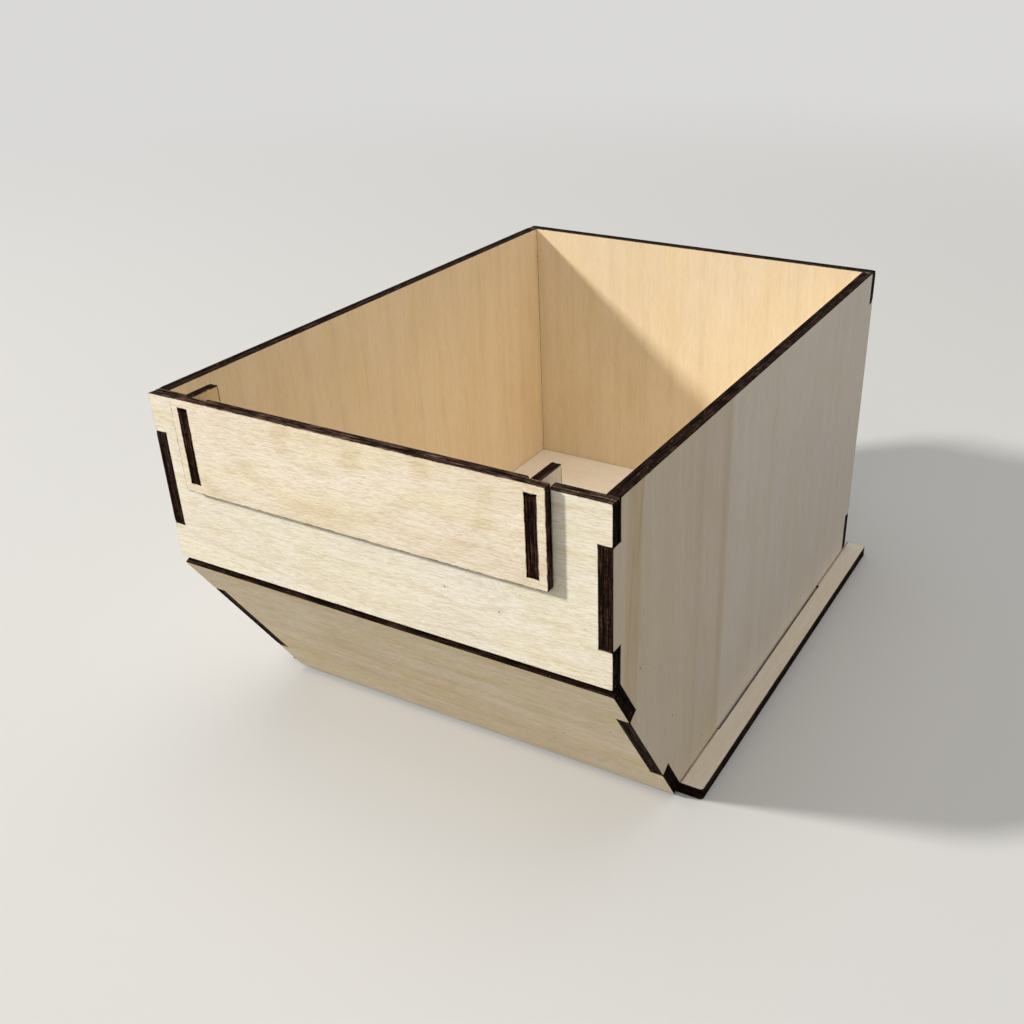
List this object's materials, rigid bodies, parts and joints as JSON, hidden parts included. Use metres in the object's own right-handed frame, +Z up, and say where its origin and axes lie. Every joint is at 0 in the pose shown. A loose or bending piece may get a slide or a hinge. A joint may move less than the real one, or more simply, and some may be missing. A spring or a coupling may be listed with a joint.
{
  "type": "sorting box",
  "caption": "Open-topped plywood sorting box with a slanted lower front, finger-jointed corners, runner flanges along its base and a hook-on label plate",
  "frame": {"origin": "On the ground under the middle of the whole part: midway between the side panels, and midway between the label plate's front face and the base plate's back edge", "axes": "+X to the right seen from the front, +Y from the front with the label plate to the back, +Z up out of the open top"},
  "size_m": [0.1232, 0.1642, 0.0929],
  "materials": {
    "plywood_3mm": "bare sanded birch plywood with dark burnt edges",
    "plywood_2mm": "bare sanded thin birch plywood with dark burnt edges"
  },
  "bodies": {
    "box": {"bottom_panel": "plywood_3mm", "left_side_panel": "plywood_3mm", "right_side_panel": "plywood_3mm", "back_panel": "plywood_3mm", "front_panel": "plywood_3mm", "lower_front_panel": "plywood_3mm", "left_floor_support": "plywood_3mm", "right_floor_support": "plywood_3mm", "inner_floor": "plywood_3mm"},
    "label": {"label_plate": "plywood_2mm", "left_label_hook": "plywood_2mm", "right_label_hook": "plywood_2mm"}
  },
  "joints": [
    {"name": "label_lift", "type": "slide", "parent": "box", "child": "label", "axis": [0, 0, 1], "range_m": [0, 0.0185]}
  ]
}
